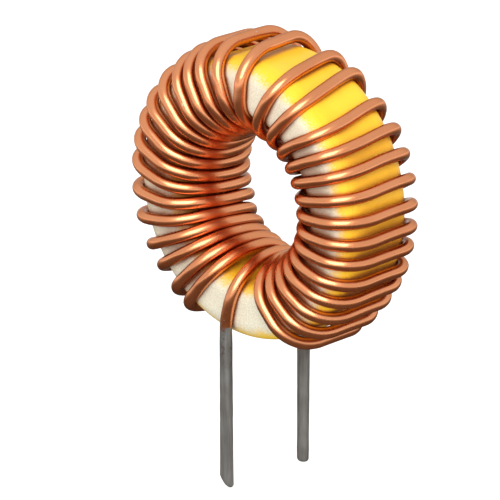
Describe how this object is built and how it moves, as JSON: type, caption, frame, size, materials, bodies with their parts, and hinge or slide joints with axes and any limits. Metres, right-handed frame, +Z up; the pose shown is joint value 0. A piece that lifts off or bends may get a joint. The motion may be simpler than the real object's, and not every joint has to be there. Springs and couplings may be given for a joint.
{
  "type": "toroidal inductor",
  "caption": "Coated powder ring wound with one layer of thick enamelled copper wire, standing on edge on two tinned wire leads for a circuit board.",
  "frame": {"origin": "half way between the two leads, on the top face of the circuit board, 0.3 mm under the ring", "axes": "+Z up from the board with the leads along -Z, the ring's axis along Y, the pale face towards -Y, +X to the right of that face"},
  "size_m": [0.0269, 0.0102, 0.0382],
  "materials": {
    "core_coating": "glossy yellow epoxy coating on pressed iron powder",
    "face_coat": "off-white sprayed coat, fine grained, soft edged",
    "enamelled_wire": "copper wire under clear glossy enamel",
    "solder": "dull grey dipped solder, slightly uneven"
  },
  "bodies": {
    "root": {"core": "core_coating", "face_coat": "face_coat", "winding": "enamelled_wire", "lead_front": "solder", "lead_rear": "solder"}
  },
  "joints": []
}
